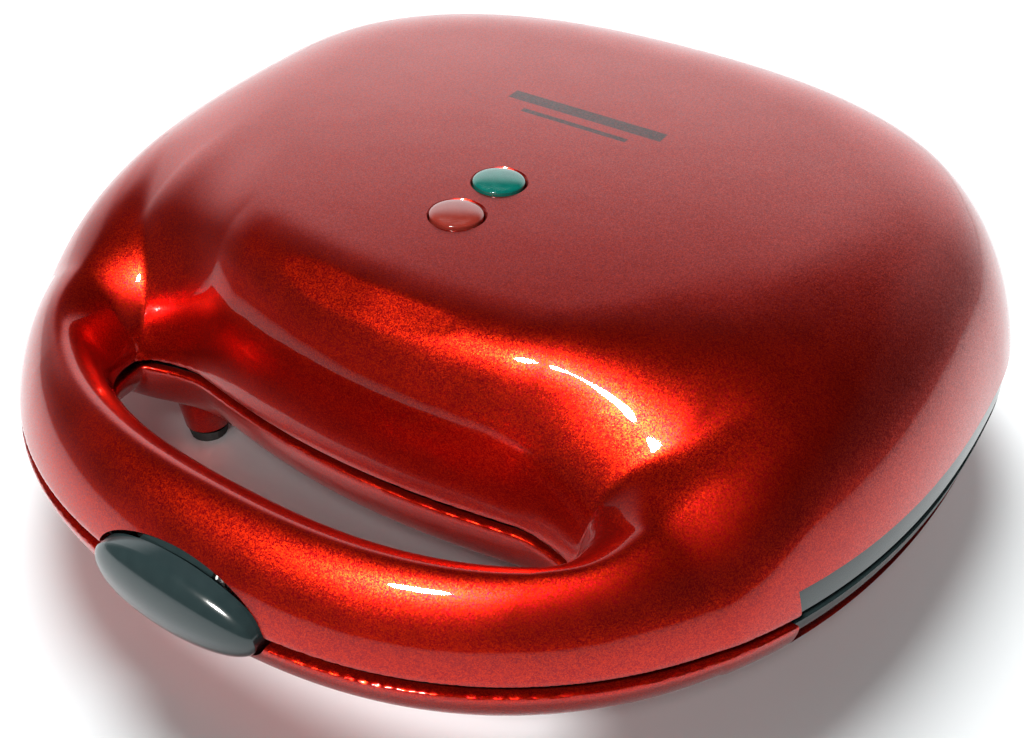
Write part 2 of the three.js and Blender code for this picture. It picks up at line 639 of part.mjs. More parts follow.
function makeLampHolder() {
  const [y0, y1] = [WIDEST_Y + LENS.red - 9, WIDEST_Y + LENS.green + 9];
  let holder = box(-8, 8, y0, y1, LAMP.shelf - 2, LAMP.shelf);
  for (const y of [y0, y1 - 2]) holder = holder.add(box(-8, 8, y, y + 2, SHIELD_TOP + FIT, LAMP.shelf - 1));
  const hole = LAMP.radius + 0.2;
  for (const y of [LENS.red, LENS.green]) {
    holder = holder.subtract(post(0, WIDEST_Y + y, LAMP.shelf - 4, LAMP.shelf + 2, hole, hole, 16));
  }
  return holder;
}

const makeLamp = (y) =>
  solid(
    new THREE.CapsuleGeometry(LAMP.radius, LAMP.top - LAMP.shelf - 2, 4, 14)
      .rotateX(Math.PI / 2)
      .translate(0, WIDEST_Y + y, (LAMP.top + LAMP.shelf) / 2 - 1),
  );

const THERMOSTAT_Y = WIDEST_Y + 6;
const makeThermostat = () =>
  upright(LID, 0, THERMOSTAT_Y, STACK.back + FIT, STACK.back + 3.4, 9, 24).add(
    upright(LID, 0, THERMOSTAT_Y, STACK.back + 3.2, STACK.back + 5.8, 6, 24),
  );

const makeThermalFuse = () =>
  rodX(-7, 7, WIDEST_Y + 12, SHIELD_TOP + 3, 2, 14).add(rodX(-11, 11, WIDEST_Y + 12, SHIELD_TOP + 3, 0.5, 8));

const BLOCK = { half: 13, from: 56, to: 65, low: 18.1, high: 23.8 };

function makeTerminalBlock() {
  const [from, to] = [WIDEST_Y + BLOCK.from, WIDEST_Y + BLOCK.to];
  let block = box(-BLOCK.half, BLOCK.half, from, to, BLOCK.low, BLOCK.high);
  for (const x of [-8, 0, 8]) {
    block = block.subtract(post(x, (from + to) / 2, BLOCK.high - 1.6, 40, 1.8, 1.8, 12));
  }
  return block;
}

// From the terminal block to one end of the lower heater.
function makeBaseLead(side) {
  const z = level(BASE, STACK.element);
  const ends = [
    [side * 8, WIDEST_Y + BLOCK.from - 0.4, z],
    [side * 8.6, WIDEST_Y + 53, z],
    [side * (HEATER.tail - 4), WIDEST_Y + 50, z],
    [side * (HEATER.tail - 4), WIDEST_Y + HEATER.rear, z],
  ];
  return tube(through(ends), 1.1, 8, 8);
}

// From one end of the upper heater towards the wire hole in the shield.
function makeLidLead(side) {
  const z = level(LID, STACK.element);
  const ends = [
    [side * (HEATER.tail - 4), WIDEST_Y + HEATER.rear, z],
    [side * (HEATER.tail - 6), WIDEST_Y + 40, z + 1],
    [side * 3, WIDEST_Y + 31, z + 3],
    [side * 2.6, WIDEST_Y + 29, z + 9],
  ];
  return tube(through(ends), 1.1, 12, 8);
}

// ---- The press ----
function addHalf(name, half) {
  piece(`${name}_frame`, makeFrame(half), BLACK);
  piece(`${name}_grill_plate`, makePlate(half), CAST);
  piece(`${name}_heating_element`, makeElement(half), STEEL);
  piece(`${name}_element_clamp`, makeClamp(half), SHEET);
  piece(`${name}_clamp_screw`, makeClampScrew(half), STEEL);
  piece(`${name}_heat_shield`, makeShield(half), SHEET);
  piece(`${name}_handle_liner`, makeHandleLiner(half), BLACK);
  SCREW_POINTS.forEach((point, i) => {
    piece(`${name}_frame_screw_${i + 1}`, makeFrameScrew(half, point), STEEL);
  });
}

piece("base_shell", makeBaseShell(), RED);
addHalf("base", BASE);
LEG_POINTS.forEach((point, i) => piece(`foot_pad_${i + 1}`, makeFootPad(point), RUBBER));
piece("cord_gland", makeCordGland(), BLACK);
piece("terminal_block", makeTerminalBlock(), CERAMIC);
piece("base_lead_left", makeBaseLead(-1), SLEEVE);
piece("base_lead_right", makeBaseLead(1), SLEEVE);
piece("latch_catch", makeLatchCatch(), SHEET);
piece("hinge_pin_left", makeHingePin(-1), STEEL);
piece("hinge_pin_right", makeHingePin(1), STEEL);

piece("lid_shell", makeLidShell(), RED);
addHalf("lid", LID);
piece("latch_button", makeLatchButton(), BLACK);
piece("latch_pin", makeLatchPin(), STEEL);
piece("latch_spring", makeLatchSpring(), STEEL);
piece("red_lens", makeLens(LENS.red), PINK);
piece("green_lens", makeLens(LENS.green), GREEN);
piece("red_lamp", makeLamp(LENS.red), GLASS);
piece("green_lamp", makeLamp(LENS.green), GLASS);
piece("lamp_holder", makeLampHolder(), CERAMIC);
piece("thermostat", makeThermostat(), CERAMIC);
piece("thermal_fuse", makeThermalFuse(), CERAMIC);
piece("lid_lead_left", makeLidLead(-1), SLEEVE);
piece("lid_lead_right", makeLidLead(1), SLEEVE);

export default press;
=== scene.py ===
"""The looks of a closed red panini press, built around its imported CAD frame.

Sizes are in millimetres until a mesh is made. Heights of a shell are measured outwards from its own
edge at the seam: up in the lid, down in the base. Surface formulas take y from the widest line.
"""

import json
import math

import bmesh
import bpy
import numpy as np
from mathutils import Matrix, Vector

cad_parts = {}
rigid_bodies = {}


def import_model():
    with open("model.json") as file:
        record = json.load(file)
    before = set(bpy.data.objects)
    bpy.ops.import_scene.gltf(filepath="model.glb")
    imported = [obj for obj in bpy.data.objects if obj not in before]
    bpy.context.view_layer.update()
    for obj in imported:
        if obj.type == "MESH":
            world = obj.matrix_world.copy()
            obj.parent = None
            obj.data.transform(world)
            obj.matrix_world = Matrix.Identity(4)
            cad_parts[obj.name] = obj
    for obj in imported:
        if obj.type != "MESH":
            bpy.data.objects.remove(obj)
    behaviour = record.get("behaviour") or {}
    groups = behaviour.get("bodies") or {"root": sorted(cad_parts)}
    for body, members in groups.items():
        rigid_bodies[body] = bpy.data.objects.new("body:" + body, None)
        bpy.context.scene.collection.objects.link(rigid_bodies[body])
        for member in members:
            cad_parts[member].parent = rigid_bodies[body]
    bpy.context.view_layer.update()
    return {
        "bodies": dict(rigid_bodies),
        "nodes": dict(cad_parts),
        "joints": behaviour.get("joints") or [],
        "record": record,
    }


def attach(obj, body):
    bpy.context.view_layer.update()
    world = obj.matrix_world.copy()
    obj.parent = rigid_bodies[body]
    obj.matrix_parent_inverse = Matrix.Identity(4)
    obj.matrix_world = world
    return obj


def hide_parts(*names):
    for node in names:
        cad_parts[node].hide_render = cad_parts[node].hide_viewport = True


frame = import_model()

MM = 0.001

# ---- Sizes, as in the CAD part ----
HALF_WIDTH = 115
FRONT_REACH = 144.8
REAR_REACH = 88
FRONT_POWER = 2.34
REAR_POWER = 2.26
WIDEST_Y = 27.55
FRONT_Y = WIDEST_Y - FRONT_REACH
SEAM_Z = 30
BASE_TOP = 28.6
WALL = 2.4
GAP = 0.3

DOME = dict(rise=41.2, reach=49.2, bend=3.3, edge=1.3)
DOME_TILT = dict(slope=0.042, over=20)
BOWL = dict(rise=15.5, reach=26, bend=3, edge=2.2)
LID_FACE = dict(rise=47.2, reach=34, bend=2.3, edge=1.6)
LID_FACE_END = dict(rise=45, reach=102, bend=2.3, edge=1.45)
BASE_FACE = dict(rise=18.5, reach=12, bend=2, edge=1.5)
FACE_EASE = dict(start=33, over=59.6)  # from the middle profile to the end one
FACE_Y = -98.5
FACE_BOW = dict(curve=0.0027, until=60, soft=30)
FACE_CORNER = dict(start=42, over=30, by=9)
LID_BLEND = dict(arch=15, dome=8)
BASE_BLEND = dict(arch=4, dome=3)

LID_HANDLE = dict(crest=17.5, growth=7, share=0.573, outer=1.5, inner=1.8)
BASE_HANDLE = dict(crest=12, growth=2.5, share=0.5, outer=3, inner=2.2)
HANDLE_GROWS = dict(start=-122, over=55)
HANDLE_WIDTH = 24.5
HANDLE_NARROWING = dict(until=60, by=4.6)
HANDLE_WIDENING = dict(start=-111, over=25, by=11.6)
OPENING_SLOPE = 3  # how steeply the surfaces dip below the seam inside the handle opening
OUTSIDE_SLOPE = 8  # and outside the outline

SLOT_X = (70, 140)
SLOT = dict(front=WIDEST_Y - 83, rear=WIDEST_Y + 48, rise=7, drop=8, corner=3.5)
LATCH = dict(half=20.6, rise=8.9, bulge=4.6)
LENS_YS = {"red_lens": WIDEST_Y - 52.1, "green_lens": WIDEST_Y - 35.1}
HINGE_Y = WIDEST_Y + REAR_REACH + 1.3
HINGE_Z = 29.3
HINGE_RADIUS = 5
PIN_RADIUS = 1.9
KNUCKLES = {"lid": [(30, 42)], "base": [(24, 30), (42, 48)]}
LEG_X = 57
LEG_YS = (WIDEST_Y - 82, WIDEST_Y + 46)
LEG = dict(top=7.2, foot=5.6, chamfer=0.6, low=3.2, high=15.6)
CORD_HOLE = dict(z=20.4, radius=3.5)
FRAME = dict(low=0.6, inset=5.2, width=9.4)
FRAME_SCREWS = dict(turns=(55, 140, 220, 305), head=3.1, head_depth=3, hole=1.6)

# ---- Sizes of the visible pieces alone ----
LID_TRIM = 0.9  # how far above the CAD lid's edge the lid ends
LENS_RADIUS = 6.1
BAND_DEPTH = 1.3  # how far the black bands stand back in the side slots
MARK_BARS = [(32.5, 22, 2.2), (26.2, 15, 0.9)]  # middle in y, half length, half width

# ---- Mesh resolution ----
TURNS = 480
RING_INSETS = np.concatenate([[0, 0.15, 0.4, 0.8, 1.4, 2.2, 3.2], np.arange(4.4, 52, 1.1)])
CORE_SHARES = np.array([[0.8, 0.6, 0.4, 0.25, 0.12]])
VOXEL = 0.8
INNER_VOXEL = 1.6
RIM_ROUND = 1.1
SKIN = 0.06  # how far the shells stay inside the exact surface, and so inside the CAD's box


# ---- Curve helpers ----
def clamp01(v):
    return np.clip(v, 0, 1)


def eased(v, start, over, by=1):
    """Nothing up to the start, rising smoothly by the given amount over a distance."""
    t = clamp01((v - start) / over)
    return by * (t * t * (3 - 2 * t))


def smooth_min(a, b, soft):
    h = np.maximum(soft - np.abs(a - b), 0) / soft
    return np.minimum(a, b) - h * h * soft / 4


def smooth_max(a, b, soft):
    return -smooth_min(-a, -b, soft)


# ---- The outline and the surfaces ----
def outline_radius(turn):
    """Distance of the outline from the middle. A turn of 0 faces the front and grows towards +X."""
    front = np.cos(turn) > 0
    power = np.where(front, FRONT_POWER, REAR_POWER)
    reach = np.where(front, FRONT_REACH, REAR_REACH)
    across = np.abs(np.sin(turn)) / HALF_WIDTH
    along = np.abs(np.cos(turn)) / reach
    return (across**power + along**power) ** (-1 / power)


def inset_at(x, y):
    """Distance in from the outline, to first order."""
    power = np.where(y < 0, FRONT_POWER, REAR_POWER)
    reach = np.where(y < 0, FRONT_REACH, REAR_REACH)
    u = np.abs(x) / HALF_WIDTH + 1e-9
    v = np.abs(y) / reach + 1e-9
    level = np.maximum((u**power + v**power) ** (1 / power), 1e-6)
    slope = np.hypot(u ** (power - 1) / HALF_WIDTH, v ** (power - 1) / reach) * level ** (1 - power)
    return (1 - level) / slope


def face_line(x):
    """The front face of the body seen from above: bowed, and brought forwards at its corners."""
    across = np.abs(x)
    bowed = FACE_BOW["curve"] * smooth_min(across, FACE_BOW["until"], FACE_BOW["soft"]) ** 2
    return FACE_Y + bowed - eased(across, **FACE_CORNER)


def rounded_rise(t, rise, reach, bend, edge):
    """A height that is steep at an edge and level once it is the reach away from it."""
    return rise * (1 - (1 - clamp01(t / reach)) ** bend) ** (1 / edge)


def face_rise(x, y, middle, end):
    """The body behind the handle opening, easing from a middle to an end profile."""
    across, half_step = np.abs(x), 0.5
    lean = face_line(across + half_step) - face_line(np.abs(across - half_step))
    behind = (y - face_line(x)) / np.hypot(1, lean)
    ease = eased(across, **FACE_EASE)
    profile = {key: middle[key] + (end[key] - middle[key]) * ease for key in middle}
    return np.where(behind > 0, rounded_rise(behind, **profile), OPENING_SLOPE * behind)


def handle_width(x, y):
    narrowing = HANDLE_NARROWING["by"] * np.minimum(np.abs(x) / HANDLE_NARROWING["until"], 1) ** 2
    return HANDLE_WIDTH - narrowing + eased(y, **HANDLE_WIDENING)


def handle_rise(x, y, crest, growth, share, outer, inner):
    """The rim that becomes the handle: an arch from the outline to the opening, with its crest between."""
    width = handle_width(x, y)
    across = inset_at(x, y) / width
    outside = across < share
    from_crest = np.where(outside, 1 - across / share, (across - share) / (1 - share))
    rise = crest + growth * eased(y, **HANDLE_GROWS)
    arch = rise * np.sqrt(1 - clamp01(from_crest) ** np.where(outside, outer, inner))
    return np.where(across >= 1, -OPENING_SLOPE * width * (across - 1), arch)


def outside_fall(inset):
    """How far a surface falls past the outline, so that it has a slope there too."""
    return OUTSIDE_SLOPE * np.minimum(inset, 0)


def lid_rise(x, y):
    inset = inset_at(x, y)
    tilt = DOME_TILT["slope"] * y * clamp01(inset / DOME_TILT["over"])
    dome = rounded_rise(inset, **DOME) + tilt
    face = face_rise(x, y, LID_FACE, LID_FACE_END)
    arch = smooth_max(face, handle_rise(x, y, **LID_HANDLE), LID_BLEND["arch"])
    return smooth_min(arch, dome, LID_BLEND["dome"]) + outside_fall(inset)


def base_drop(x, y):
    inset = inset_at(x, y)
    bowl = rounded_rise(inset, **BOWL)
    face = face_rise(x, y, BASE_FACE, BASE_FACE)
    arch = smooth_max(face, handle_rise(x, y, **BASE_HANDLE), BASE_BLEND["arch"])
    return smooth_min(arch, bowl, BASE_BLEND["dome"]) + outside_fall(inset)


def slopes(rise_at, x, y, step=0.03):
    along_x = (rise_at(x + step, y) - rise_at(x - step, y)) / (2 * step)
    along_y = (rise_at(x, y + step) - rise_at(x, y - step)) / (2 * step)
    return along_x, along_y


# ---- Mesh helpers ----
def add_object(name, data):
    obj = bpy.data.objects.new(name, data)
    bpy.context.scene.collection.objects.link(obj)
    return obj


def mesh_object(name, points, faces):
    mesh = bpy.data.meshes.new(name)
    mesh.from_pydata((np.asarray(points) * MM).tolist(), [], faces)
    return add_object(name, mesh)


def bmesh_object(name, build):
    """An object whose mesh build(bm) makes, in millimetres."""
    bm = bmesh.new()
    build(bm)
    bmesh.ops.scale(bm, vec=(MM, MM, MM), verts=bm.verts)
    bmesh.ops.recalc_face_normals(bm, faces=bm.faces)
    mesh = bpy.data.meshes.new(name)
    bm.to_mesh(mesh)
    bm.free()
    return add_object(name, mesh)


def apply_modifier(obj, kind, **settings):
    modifier = obj.modifiers.new("shape", kind)
    for key, value in settings.items():
        setattr(modifier, key, value)
    depsgraph = bpy.context.evaluated_depsgraph_get()
    mesh = bpy.data.meshes.new_from_object(obj.evaluated_get(depsgraph))
    obj.modifiers.clear()
    old = obj.data
    obj.data = mesh
    bpy.data.meshes.remove(old)
    return obj


def combine(obj, other, operation):
    """Applies a boolean operation with another object, and removes that one."""
    apply_modifier(obj, "BOOLEAN", object=other, operation=operation, solver="MANIFOLD")
    bpy.data.objects.remove(other)
    return obj


def cut(obj, *tools):
    for tool in tools:
        combine(obj, tool, "DIFFERENCE")
    return obj


def join(obj, *others):
    for other in others:
        combine(obj, other, "UNION")
    return obj


def smooth(obj, angle=35):
    obj.data.shade_smooth()
    obj.data.set_sharp_from_angle(angle=math.radians(angle))
    return obj


def block(x0, x1, y0, y1, z0, z1, round_off=0.0, segments=3):
    """A box, with rounded edges if round_off is given."""

    def build(bm):
        size = (x1 - x0, y1 - y0, z1 - z0)
        middle = Vector(((x0 + x1) / 2, (y0 + y1) / 2, (z0 + z1) / 2))
        place = Matrix.Translation(middle) @ Matrix.Diagonal((*size, 1))
        bmesh.ops.create_cube(bm, size=1, matrix=place)
        if round_off:
            rounding = dict(offset=round_off, segments=segments, affect="EDGES", profile=0.5)
            bmesh.ops.bevel(bm, geom=bm.edges[:], **rounding)

    return bmesh_object("block", build)


def lathe(name, profile, segments, place):
    """A closed solid turned about Z from (radius, height) points, which start and end on the axis."""

    def build(bm):
        verts = [bm.verts.new((radius, 0, height)) for radius, height in profile]
        edges = [bm.edges.new(pair) for pair in zip(verts, verts[1:])]
        turned = dict(axis=(0, 0, 1), cent=(0, 0, 0), steps=segments, angle=2 * math.pi)
        bmesh.ops.spin(bm, geom=verts + edges, **turned)
        bmesh.ops.remove_doubles(bm, verts=bm.verts, dist=1e-4)
        bmesh.ops.transform(bm, matrix=place, verts=bm.verts)

    return bmesh_object(name, build)


def at(x, y, z):
    return Matrix.Translation((x, y, z))


ALONG_X = Matrix.Rotation(math.pi / 2, 4, "Y")
ALONG_Y = Matrix.Rotation(-math.pi / 2, 4, "X")


def rod(place, length, radius, segments=64):
    """A cylinder from the placed origin along the placed Z."""
    return lathe("rod", [(0, 0), (radius, 0), (radius, length), (0, length)], segments, place)


def rod_x(x0, x1, y, z, radius):
    return rod(at(x0, y, z) @ ALONG_X, x1 - x0, radius)


def post(x, y, z0, z1, radius):
    return rod(at(x, y, z0), z1 - z0, radius)


def span(side, a, b):
    """The range from a to b in x, mirrored on the left side."""
    return min(side * a, side * b), max(side * a, side * b)


# ---- Shells ----
class Half:
    """The lid or the base: its surface, where its edge is, and which way it grows from the seam."""

    def __init__(self, name, rise_at, edge, up, trim):
        self.name = name
        self.rise_at = rise_at
        self.edge = edge
        self.up = up
        self.trim = trim

    def place(self, obj):
        """Takes a shape from the half's own heights to its place in the part."""
        origin = Vector((0, WIDEST_Y, self.edge)) * MM
        obj.data.transform(Matrix.Translation(origin) @ Matrix.Diagonal((1, 1, self.up, 1)))
        if self.up < 0:
            obj.data.flip_normals()
        return obj

    def levels(self, low, high):
        """The lower and upper z of two heights of the half."""
        return sorted((self.edge + self.up * low, self.edge + self.up * high))


LID = Half("lid", lid_rise, SEAM_Z, 1, LID_TRIM)
BASE = Half("base", base_drop, BASE_TOP, -1, 0)


def polar_grid(rise_at, depth):
    """Rows of points from the outline to the middle of a surface, moved in by depth."""
    turn = np.linspace(0, 2 * math.pi, TURNS, endpoint=False)[:, None]
    outer = outline_radius(turn)
    radius = np.concatenate([outer - RING_INSETS, (outer - RING_INSETS[-1]) * CORE_SHARES], axis=1)
    x = radius * np.sin(turn)
    y = -radius * np.cos(turn)
    z = rise_at(x, y)
    slope_x, slope_y = slopes(rise_at, x, y)
    normal = np.stack([-slope_x, -slope_y, np.ones_like(z)], axis=-1)
    z[:, 0] = 0
    normal[:, 0, 2] = 0
    normal /= np.linalg.norm(normal, axis=-1, keepdims=True)
    return np.stack([x, y, z], axis=-1) - depth * normal


def polar_solid(rise_at, depth):
    """The solid under a surface out to the outline, moved in by depth."""
    lowest, underside = -8, -12
    grid = polar_grid(rise_at, depth)
    grid[..., 2] = np.maximum(grid[..., 2], lowest)
    skirt = grid[:, :1].copy()
    skirt[..., 2] = underside
    grid = np.concatenate([skirt, grid], axis=1)
    count = grid.shape[1]
    middle = float(rise_at(np.zeros(1), np.zeros(1))[0]) - depth
    points = np.concatenate([grid.reshape(-1, 3), [[0, 0, middle], [0, 0, underside]]])
    top, bottom = len(points) - 2, len(points) - 1
    faces = []
    for i in range(TURNS):
        here, there = i * count, (i + 1) % TURNS * count
        faces += [(here + j, there + j, there + j + 1, here + j + 1) for j in range(count - 1)]
        faces += [(here + count - 1, there + count - 1, top), (there, here, bottom)]
    return mesh_object("solid", points, faces)


def vertex_array(mesh):
    flat = np.empty(len(mesh.vertices) * 3, np.float32)
    mesh.vertices.foreach_get("co", flat)
    return flat.reshape(-1, 3).astype(float)


def settle_on_surface(obj, rise_at, trim, rounds=8, stride=0.5, least=0.05):
    """Moves vertices onto the exact surface, with its edge rounded where it ends at the trim height."""
    p = vertex_array(obj.data) / MM
    for _ in range(rounds):
        slope_x, slope_y = slopes(rise_at, p[:, 0], p[:, 1])
        steep = np.sqrt(1 + slope_x**2 + slope_y**2)
        below = (rise_at(p[:, 0], p[:, 1]) - p[:, 2]) / steep - SKIN
        above = p[:, 2] - trim
        blend = np.maximum(RIM_ROUND - np.abs(below - above), 0) / RIM_ROUND
        depth = np.minimum(below, above) - blend**2 * RIM_ROUND / 4
        share = np.where(below < above, 1 - blend / 2, blend / 2)
        inwards = np.stack([slope_x, slope_y, -np.ones_like(steep)], axis=1)
        inwards = inwards / steep[:, None] * share[:, None]
        inwards[:, 2] += 1 - share
        move = -depth / np.maximum((inwards**2).sum(axis=1), least)
        p += np.clip(move, -stride, stride)[:, None] * inwards
    obj.data.vertices.foreach_set("co", (p * MM).astype(np.float32).ravel())
    obj.data.update()
    return obj


def thin_shell(half):
    """The wall of a half: fine and exact outside, coarser inside."""
    far = 400
    outside = cut(polar_solid(half.rise_at, 0), block(-far, far, -far, far, -far, half.trim))
    apply_modifier(outside, "REMESH", mode="VOXEL", voxel_size=VOXEL * MM)
    settle_on_surface(outside, half.rise_at, half.trim)
    inside = polar_solid(half.rise_at, WALL)
    apply_modifier(inside, "REMESH", mode="VOXEL", voxel_size=INNER_VOXEL * MM)
    return half.place(cut(outside, inside))


def knuckle(half, side, a, b):
    """One tube of the hinge, with the arm that joins it to its shell."""
    arm_depth, arm_gap = 7, 0.2
    x0, x1 = span(side, a + GAP / 2, b - GAP / 2)
    if half is LID:
        z0, z1 = SEAM_Z + arm_gap, HINGE_Z + HINGE_RADIUS
    else:
        z0, z1 = HINGE_Z - HINGE_RADIUS, BASE_TOP - arm_gap
    arm = block(x0, x1, HINGE_Y - arm_depth, HINGE_Y, z0, z1)
    return join(rod_x(x0, x1, HINGE_Y, HINGE_Z, HINGE_RADIUS - SKIN), arm)


def add_hinge(half, shell):
    """Knuckles on both sides, room for those of the other half, and the bore for the pins."""
    clearance, bore_end = 0.7, 53
    own = KNUCKLES[half.name]
    other = KNUCKLES["base" if half is LID else "lid"]
    for side in (-1, 1):
        for a, b in other:
            x0, x1 = span(side, a - GAP, b + GAP)
            cut(shell, rod_x(x0, x1, HINGE_Y, HINGE_Z, HINGE_RADIUS + clearance))
        for a, b in own:
            join(shell, knuckle(half, side, a, b))
    return cut(shell, rod_x(-bore_end, bore_end, HINGE_Y, HINGE_Z, PIN_RADIUS + GAP / 2))


def latch_pocket():
    """An oval hole through the front of the handle, a margin wider than the latch."""
    margin, ahead, depth = 0.9, 20, 28.8
    oval = Matrix.Diagonal((LATCH["half"] + margin, LATCH["rise"] + margin, 1, 1))
    return rod(at(0, FRONT_Y - ahead, SEAM_Z) @ ALONG_Y @ oval, depth, 1, 96)


def side_slot(side, z0, z1, corner=0.0):
    return block(*span(side, *SLOT_X), SLOT["front"], SLOT["rear"], z0, z1, corner, 6)


def lens_height(y):
    return SEAM_Z + float(lid_rise(np.zeros(1), np.array([y - WIDEST_Y]))[0])


def lens_hole(y):
    low, high = 55, 90
    return post(0, y, low, high, LENS_RADIUS + GAP)


def lens_rim(y):
    """A shallow cone that eases the edge of a lens hole."""
    hole = LENS_RADIUS + GAP
    narrow, wide = hole - 0.4, hole + 0.8
    low, high = -1, 0.5
    profile = [(0, low), (narrow, low), (wide, high), (0, high)]
    return lathe("rim", profile, 96, at(0, y, lens_height(y)))


def make_lid_shell():
    below_lid = 10
    shell = cut(thin_shell(LID), latch_pocket())
    for side in (-1, 1):
        cut(shell, side_slot(side, below_lid, SEAM_Z + SLOT["rise"]))
    for y in LENS_YS.values():
        cut(shell, lens_hole(y), lens_rim(y))
    return add_hinge(LID, shell)


def make_leg(x, y):
    """A leg that narrows down to its foot, with a chamfer above the pad."""
    low, foot, chamfer = LEG["low"], LEG["foot"], LEG["chamfer"]
    end = [(0, low), (foot - chamfer, low), (foot, low + chamfer)]
    return lathe("leg", [*end, (LEG["top"], LEG["high"]), (0, LEG["high"])], 64, at(x, y, 0))


def cord_hole(y, length):
    """A round hole towards the rear, where the cord would come out."""
    return rod(at(0, y, CORD_HOLE["z"]) @ ALONG_Y, length, CORD_HOLE["radius"])


def make_base_shell():
    above_base = 60
    shell = cut(thin_shell(BASE), latch_pocket())
    for side in (-1, 1):
        cut(shell, side_slot(side, BASE_TOP - SLOT["drop"], above_base, SLOT["corner"]))
    add_hinge(BASE, shell)
    for x in (-LEG_X, LEG_X):
        for y in LEG_YS:
            join(shell, make_leg(x, y))
    return cut(shell, cord_hole(WIDEST_Y + 60, 50))


# ---- Frames ----
def outline_points(inset, count=240):
    """Points of the body's outline behind the handle opening, moved in by inset."""
    sharpness, far = 16, 4000.0
    facing, sideways = 0.3, 0.02
    points = []
    for i in range(count):
        turn = -2 * math.pi * i / count
        ahead = math.cos(turn)
        edge = float(outline_radius(np.array([turn]))[0]) - inset
        face = far
        if ahead > facing:
            face = (-float(face_line(min(face, edge) * math.sin(turn))) - inset) / ahead
        elif ahead > sideways:
            face = (-FACE_Y - inset) / ahead
        radius = (edge**-sharpness + face**-sharpness) ** (-1 / sharpness)
        points.append((radius * math.sin(turn), WIDEST_Y - radius * math.cos(turn)))
    return points


def layer(half, points, low, high):
    """A slab with an outline, between two heights of a half."""
    z0, z1 = half.levels(low, high)

    def build(bm):
        bottom = [bm.verts.new((x, y, z0)) for x, y in points]
        top = [bm.verts.new((x, y, z1)) for x, y in points]
        bm.faces.new(bottom)
        bm.faces.new(top)
        for i in range(len(points)):
            j = (i + 1) % len(points)
            bm.faces.new((bottom[i], bottom[j], top[j], top[i]))

    return bmesh_object("layer", build)


def make_slot_band(half, side, low, high):
    """The smooth part of a frame that fills its side slot, following the outside of the shell."""
    edge_round, overlap = 0.6, 0.6
    x0, x1 = span(side, *SLOT_X)
    front, rear = SLOT["front"] + GAP, SLOT["rear"] - GAP
    band = block(x0, x1, front, rear, *half.levels(low, high), edge_round)
    within = half.place(polar_solid(half.rise_at, BAND_DEPTH))
    combine(band, within, "INTERSECT")
    return cut(band, layer(half, outline_points(FRAME["inset"] + overlap), low - 1, high + 1))


def make_frame(half, high, band_high):
    """A flat ring inside the edge of a half, with its slot bands and screw holes."""
    low, inset, width = FRAME["low"], FRAME["inset"], FRAME["width"]
    inner = layer(half, outline_points(inset + width), low - 1, high + 1)
    frame = cut(layer(half, outline_points(inset), low, high), inner)
    corner_round, sharp = 0.5 * MM, math.radians(50)
    apply_modifier(frame, "BEVEL", width=corner_round, segments=2, limit_method="ANGLE", angle_limit=sharp)
    for side in (-1, 1):
        join(frame, make_slot_band(half, side, low, band_high))
    middle_line = outline_points(inset + width / 2, 360)
    for turn in FRAME_SCREWS["turns"]:
        x, y = middle_line[-turn % 360]
        cut(frame, post(x, y, *half.levels(0, FRAME_SCREWS["head_depth"]), FRAME_SCREWS["head"]))
        cut(frame, post(x, y, *half.levels(0, high + 1), FRAME_SCREWS["hole"]))
    return frame


def make_lid_frame():
    return make_frame(LID, high=6.5, band_high=6.5)


def make_base_frame():
    return cut(make_frame(BASE, high=5.2, band_high=7.6), cord_hole(WIDEST_Y, 200))


# ---- Latch button ----
def latch_face_y(z, share):
    """How far back the domed face is, at a height and a share of the way out. Its chin is turned back."""
    depth, fullness = 5.4, 0.985
    chin_from, chin_growth, chin_power = 2.5, 0.10, 1.25
    fall = depth * (1 - math.sqrt(max(1 - fullness * share**2, 0)))
    chin = chin_growth * max(-z - chin_from, 0) ** chin_power
    return FRONT_Y - LATCH["bulge"] + fall + chin


def make_latch_face():
    """A long oval pad, domed, with a flat back."""
    rings, around = 24, 128
    back = FRONT_Y + 3
    turns = [2 * math.pi * k / around for k in range(around)]
    points = [(0, FRONT_Y - LATCH["bulge"], 0)]
    for i in range(1, rings + 1):
        share = math.sin(i / rings * math.pi / 2)
        for turn in turns:
            z = LATCH["rise"] * share * math.sin(turn)
            x = LATCH["half"] * share * math.cos(turn)
            points.append((x, min(latch_face_y(z, share), back), z))
    points += [(LATCH["half"] * math.cos(turn), back, LATCH["rise"] * math.sin(turn)) for turn in turns]
    points.append((0, back, 0))
    faces = [(0, 1 + (k + 1) % around, 1 + k) for k in range(around)]
    for i in range(rings):
        here, there = 1 + i * around, 1 + (i + 1) * around
        for k in range(around):
            after = (k + 1) % around
            faces.append((here + k, here + after, there + after, there + k))
    last = 1 + rings * around
    faces += [(last + k, last + (k + 1) % around, len(points) - 1) for k in range(around)]
    pad = mesh_object("latch_pad", np.array(points) + [0, 0, SEAM_Z], faces)
    return apply_modifier(pad, "WELD", merge_threshold=0.001 * MM)


def turn_faces_out(obj):
    bm = bmesh.new()
    bm.from_mesh(obj.data)
    bmesh.ops.recalc_face_normals(bm, faces=bm.faces)
    bm.to_mesh(obj.data)
    bm.free()
    return obj


